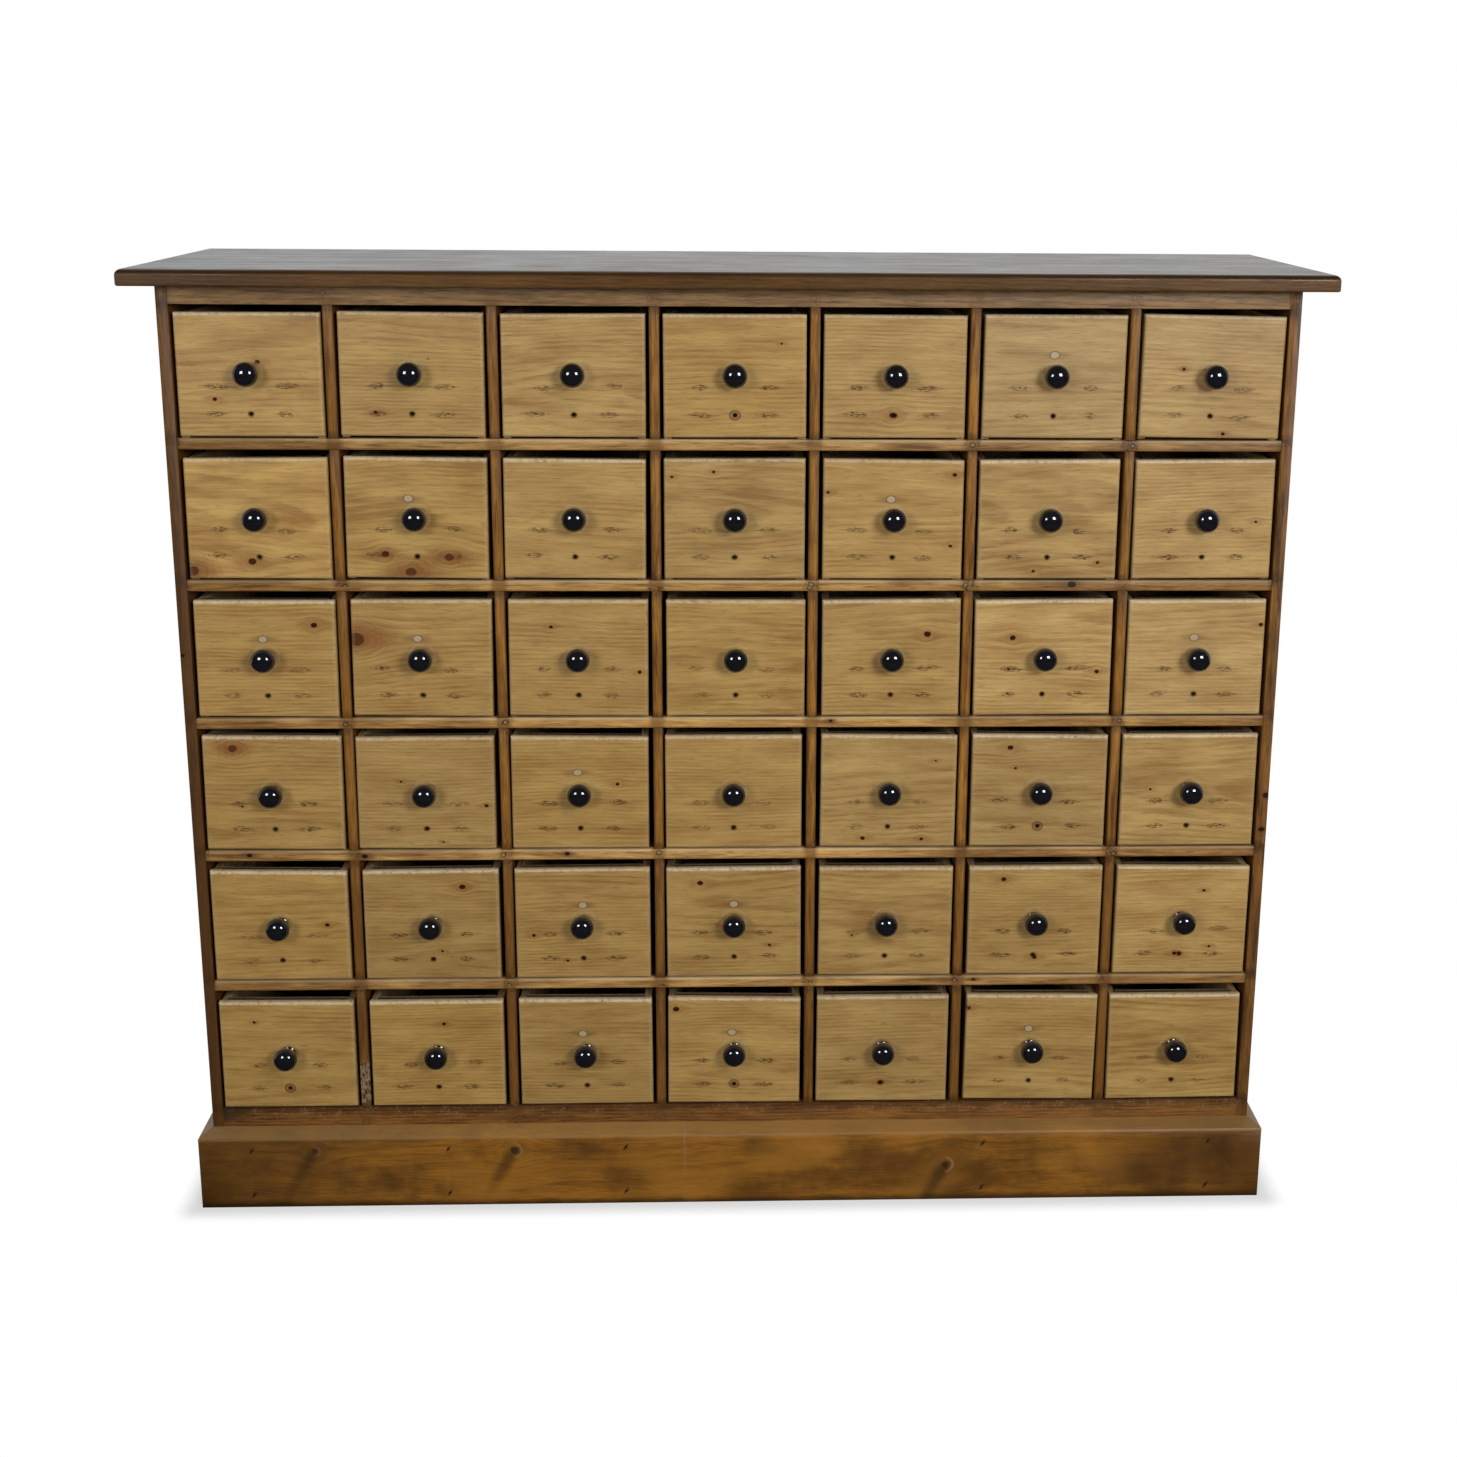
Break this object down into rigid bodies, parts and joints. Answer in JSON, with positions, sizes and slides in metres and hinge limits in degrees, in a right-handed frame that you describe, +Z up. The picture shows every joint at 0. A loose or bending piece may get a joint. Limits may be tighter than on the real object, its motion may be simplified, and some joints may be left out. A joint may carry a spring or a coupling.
{
  "type": "seed storage cabinet",
  "caption": "Floor-standing pine cabinet with a grid of small drawers with black ball knobs, an overhanging top and a plinth.",
  "frame": {"origin": "on the floor, under the middle of the cabinet's bounding box", "axes": "+X to the right as the viewer faces the drawers, -Y to the front, the way the drawers pull out, +Z up"},
  "size_m": [1.408, 0.38, 1.1995],
  "materials": {
    "stained_pine": "waxed brown-stained pine, satin",
    "dark_top": "dark stained pine, polished",
    "pale_pine": "stripped pale pine, waxed",
    "plain_pine": "unstained sawn pine",
    "knob_black": "black gloss lacquer",
    "nail_iron": "dull dark iron"
  },
  "bodies": {
    "carcass": {"top_board": "dark_top", "carcass_top": "stained_pine", "side_left": "stained_pine", "side_right": "stained_pine", "bottom_board": "stained_pine", "bottom_rail": "stained_pine", "shelf_1": "stained_pine", "shelf_2": "stained_pine", "shelf_3": "stained_pine", "shelf_4": "stained_pine", "shelf_5": "stained_pine", "dividers": "stained_pine", "back_boards": "plain_pine", "plinth_front": "stained_pine", "plinth_left": "stained_pine", "plinth_right": "stained_pine", "corner_blocks": "plain_pine", "plinth_nails": "nail_iron"},
    "drawer_r1_c1": {"drawer_r1_c1": "pale_pine"},
    "drawer_r1_c2": {"drawer_r1_c2": "pale_pine"},
    "drawer_r1_c3": {"drawer_r1_c3": "pale_pine"},
    "drawer_r1_c4": {"drawer_r1_c4": "pale_pine"},
    "drawer_r1_c5": {"drawer_r1_c5": "pale_pine"},
    "drawer_r1_c6": {"drawer_r1_c6": "pale_pine"},
    "drawer_r1_c7": {"drawer_r1_c7": "pale_pine"},
    "drawer_r2_c1": {"drawer_r2_c1": "pale_pine"},
    "drawer_r2_c2": {"drawer_r2_c2": "pale_pine"},
    "drawer_r2_c3": {"drawer_r2_c3": "pale_pine"},
    "drawer_r2_c4": {"drawer_r2_c4": "pale_pine"},
    "drawer_r2_c5": {"drawer_r2_c5": "pale_pine"},
    "drawer_r2_c6": {"drawer_r2_c6": "pale_pine"},
    "drawer_r2_c7": {"drawer_r2_c7": "pale_pine"},
    "drawer_r3_c1": {"drawer_r3_c1": "pale_pine"},
    "drawer_r3_c2": {"drawer_r3_c2": "pale_pine"},
    "drawer_r3_c3": {"drawer_r3_c3": "pale_pine"},
    "drawer_r3_c4": {"drawer_r3_c4": "pale_pine"},
    "drawer_r3_c5": {"drawer_r3_c5": "pale_pine"},
    "drawer_r3_c6": {"drawer_r3_c6": "pale_pine"},
    "drawer_r3_c7": {"drawer_r3_c7": "pale_pine"},
    "drawer_r4_c1": {"drawer_r4_c1": "pale_pine"},
    "drawer_r4_c2": {"drawer_r4_c2": "pale_pine"},
    "drawer_r4_c3": {"drawer_r4_c3": "pale_pine"},
    "drawer_r4_c4": {"drawer_r4_c4": "pale_pine"},
    "drawer_r4_c5": {"drawer_r4_c5": "pale_pine"},
    "drawer_r4_c6": {"drawer_r4_c6": "pale_pine"},
    "drawer_r4_c7": {"drawer_r4_c7": "pale_pine"},
    "drawer_r5_c1": {"drawer_r5_c1": "pale_pine"},
    "drawer_r5_c2": {"drawer_r5_c2": "pale_pine"},
    "drawer_r5_c3": {"drawer_r5_c3": "pale_pine"},
    "drawer_r5_c4": {"drawer_r5_c4": "pale_pine"},
    "drawer_r5_c5": {"drawer_r5_c5": "pale_pine"},
    "drawer_r5_c6": {"drawer_r5_c6": "pale_pine"},
    "drawer_r5_c7": {"drawer_r5_c7": "pale_pine"},
    "drawer_r6_c1": {"drawer_r6_c1": "pale_pine"},
    "drawer_r6_c2": {"drawer_r6_c2": "pale_pine"},
    "drawer_r6_c3": {"drawer_r6_c3": "pale_pine"},
    "drawer_r6_c4": {"drawer_r6_c4": "pale_pine"},
    "drawer_r6_c5": {"drawer_r6_c5": "pale_pine"},
    "drawer_r6_c6": {"drawer_r6_c6": "pale_pine"},
    "drawer_r6_c7": {"drawer_r6_c7": "pale_pine"}
  },
  "joints": [
    {"name": "slide_r1_c1", "type": "slide", "parent": "carcass", "child": "drawer_r1_c1", "axis": [0, -1, 0], "range_m": [0, 0.24]},
    {"name": "slide_r1_c2", "type": "slide", "parent": "carcass", "child": "drawer_r1_c2", "axis": [0, -1, 0], "range_m": [0, 0.24]},
    {"name": "slide_r1_c3", "type": "slide", "parent": "carcass", "child": "drawer_r1_c3", "axis": [0, -1, 0], "range_m": [0, 0.24]},
    {"name": "slide_r1_c4", "type": "slide", "parent": "carcass", "child": "drawer_r1_c4", "axis": [0, -1, 0], "range_m": [0, 0.24]},
    {"name": "slide_r1_c5", "type": "slide", "parent": "carcass", "child": "drawer_r1_c5", "axis": [0, -1, 0], "range_m": [0, 0.24]},
    {"name": "slide_r1_c6", "type": "slide", "parent": "carcass", "child": "drawer_r1_c6", "axis": [0, -1, 0], "range_m": [0, 0.24]},
    {"name": "slide_r1_c7", "type": "slide", "parent": "carcass", "child": "drawer_r1_c7", "axis": [0, -1, 0], "range_m": [0, 0.24]},
    {"name": "slide_r2_c1", "type": "slide", "parent": "carcass", "child": "drawer_r2_c1", "axis": [0, -1, 0], "range_m": [0, 0.24]},
    {"name": "slide_r2_c2", "type": "slide", "parent": "carcass", "child": "drawer_r2_c2", "axis": [0, -1, 0], "range_m": [0, 0.24]},
    {"name": "slide_r2_c3", "type": "slide", "parent": "carcass", "child": "drawer_r2_c3", "axis": [0, -1, 0], "range_m": [0, 0.24]},
    {"name": "slide_r2_c4", "type": "slide", "parent": "carcass", "child": "drawer_r2_c4", "axis": [0, -1, 0], "range_m": [0, 0.24]},
    {"name": "slide_r2_c5", "type": "slide", "parent": "carcass", "child": "drawer_r2_c5", "axis": [0, -1, 0], "range_m": [0, 0.24]},
    {"name": "slide_r2_c6", "type": "slide", "parent": "carcass", "child": "drawer_r2_c6", "axis": [0, -1, 0], "range_m": [0, 0.24]},
    {"name": "slide_r2_c7", "type": "slide", "parent": "carcass", "child": "drawer_r2_c7", "axis": [0, -1, 0], "range_m": [0, 0.24]},
    {"name": "slide_r3_c1", "type": "slide", "parent": "carcass", "child": "drawer_r3_c1", "axis": [0, -1, 0], "range_m": [0, 0.24]},
    {"name": "slide_r3_c2", "type": "slide", "parent": "carcass", "child": "drawer_r3_c2", "axis": [0, -1, 0], "range_m": [0, 0.24]},
    {"name": "slide_r3_c3", "type": "slide", "parent": "carcass", "child": "drawer_r3_c3", "axis": [0, -1, 0], "range_m": [0, 0.24]},
    {"name": "slide_r3_c4", "type": "slide", "parent": "carcass", "child": "drawer_r3_c4", "axis": [0, -1, 0], "range_m": [0, 0.24]},
    {"name": "slide_r3_c5", "type": "slide", "parent": "carcass", "child": "drawer_r3_c5", "axis": [0, -1, 0], "range_m": [0, 0.24]},
    {"name": "slide_r3_c6", "type": "slide", "parent": "carcass", "child": "drawer_r3_c6", "axis": [0, -1, 0], "range_m": [0, 0.24]},
    {"name": "slide_r3_c7", "type": "slide", "parent": "carcass", "child": "drawer_r3_c7", "axis": [0, -1, 0], "range_m": [0, 0.24]},
    {"name": "slide_r4_c1", "type": "slide", "parent": "carcass", "child": "drawer_r4_c1", "axis": [0, -1, 0], "range_m": [0, 0.24]},
    {"name": "slide_r4_c2", "type": "slide", "parent": "carcass", "child": "drawer_r4_c2", "axis": [0, -1, 0], "range_m": [0, 0.24]},
    {"name": "slide_r4_c3", "type": "slide", "parent": "carcass", "child": "drawer_r4_c3", "axis": [0, -1, 0], "range_m": [0, 0.24]},
    {"name": "slide_r4_c4", "type": "slide", "parent": "carcass", "child": "drawer_r4_c4", "axis": [0, -1, 0], "range_m": [0, 0.24]},
    {"name": "slide_r4_c5", "type": "slide", "parent": "carcass", "child": "drawer_r4_c5", "axis": [0, -1, 0], "range_m": [0, 0.24]},
    {"name": "slide_r4_c6", "type": "slide", "parent": "carcass", "child": "drawer_r4_c6", "axis": [0, -1, 0], "range_m": [0, 0.24]},
    {"name": "slide_r4_c7", "type": "slide", "parent": "carcass", "child": "drawer_r4_c7", "axis": [0, -1, 0], "range_m": [0, 0.24]},
    {"name": "slide_r5_c1", "type": "slide", "parent": "carcass", "child": "drawer_r5_c1", "axis": [0, -1, 0], "range_m": [0, 0.24]},
    {"name": "slide_r5_c2", "type": "slide", "parent": "carcass", "child": "drawer_r5_c2", "axis": [0, -1, 0], "range_m": [0, 0.24]},
    {"name": "slide_r5_c3", "type": "slide", "parent": "carcass", "child": "drawer_r5_c3", "axis": [0, -1, 0], "range_m": [0, 0.24]},
    {"name": "slide_r5_c4", "type": "slide", "parent": "carcass", "child": "drawer_r5_c4", "axis": [0, -1, 0], "range_m": [0, 0.24]},
    {"name": "slide_r5_c5", "type": "slide", "parent": "carcass", "child": "drawer_r5_c5", "axis": [0, -1, 0], "range_m": [0, 0.24]},
    {"name": "slide_r5_c6", "type": "slide", "parent": "carcass", "child": "drawer_r5_c6", "axis": [0, -1, 0], "range_m": [0, 0.24]},
    {"name": "slide_r5_c7", "type": "slide", "parent": "carcass", "child": "drawer_r5_c7", "axis": [0, -1, 0], "range_m": [0, 0.24]},
    {"name": "slide_r6_c1", "type": "slide", "parent": "carcass", "child": "drawer_r6_c1", "axis": [0, -1, 0], "range_m": [0, 0.24]},
    {"name": "slide_r6_c2", "type": "slide", "parent": "carcass", "child": "drawer_r6_c2", "axis": [0, -1, 0], "range_m": [0, 0.24]},
    {"name": "slide_r6_c3", "type": "slide", "parent": "carcass", "child": "drawer_r6_c3", "axis": [0, -1, 0], "range_m": [0, 0.24]},
    {"name": "slide_r6_c4", "type": "slide", "parent": "carcass", "child": "drawer_r6_c4", "axis": [0, -1, 0], "range_m": [0, 0.24]},
    {"name": "slide_r6_c5", "type": "slide", "parent": "carcass", "child": "drawer_r6_c5", "axis": [0, -1, 0], "range_m": [0, 0.24]},
    {"name": "slide_r6_c6", "type": "slide", "parent": "carcass", "child": "drawer_r6_c6", "axis": [0, -1, 0], "range_m": [0, 0.24]},
    {"name": "slide_r6_c7", "type": "slide", "parent": "carcass", "child": "drawer_r6_c7", "axis": [0, -1, 0], "range_m": [0, 0.24]}
  ]
}
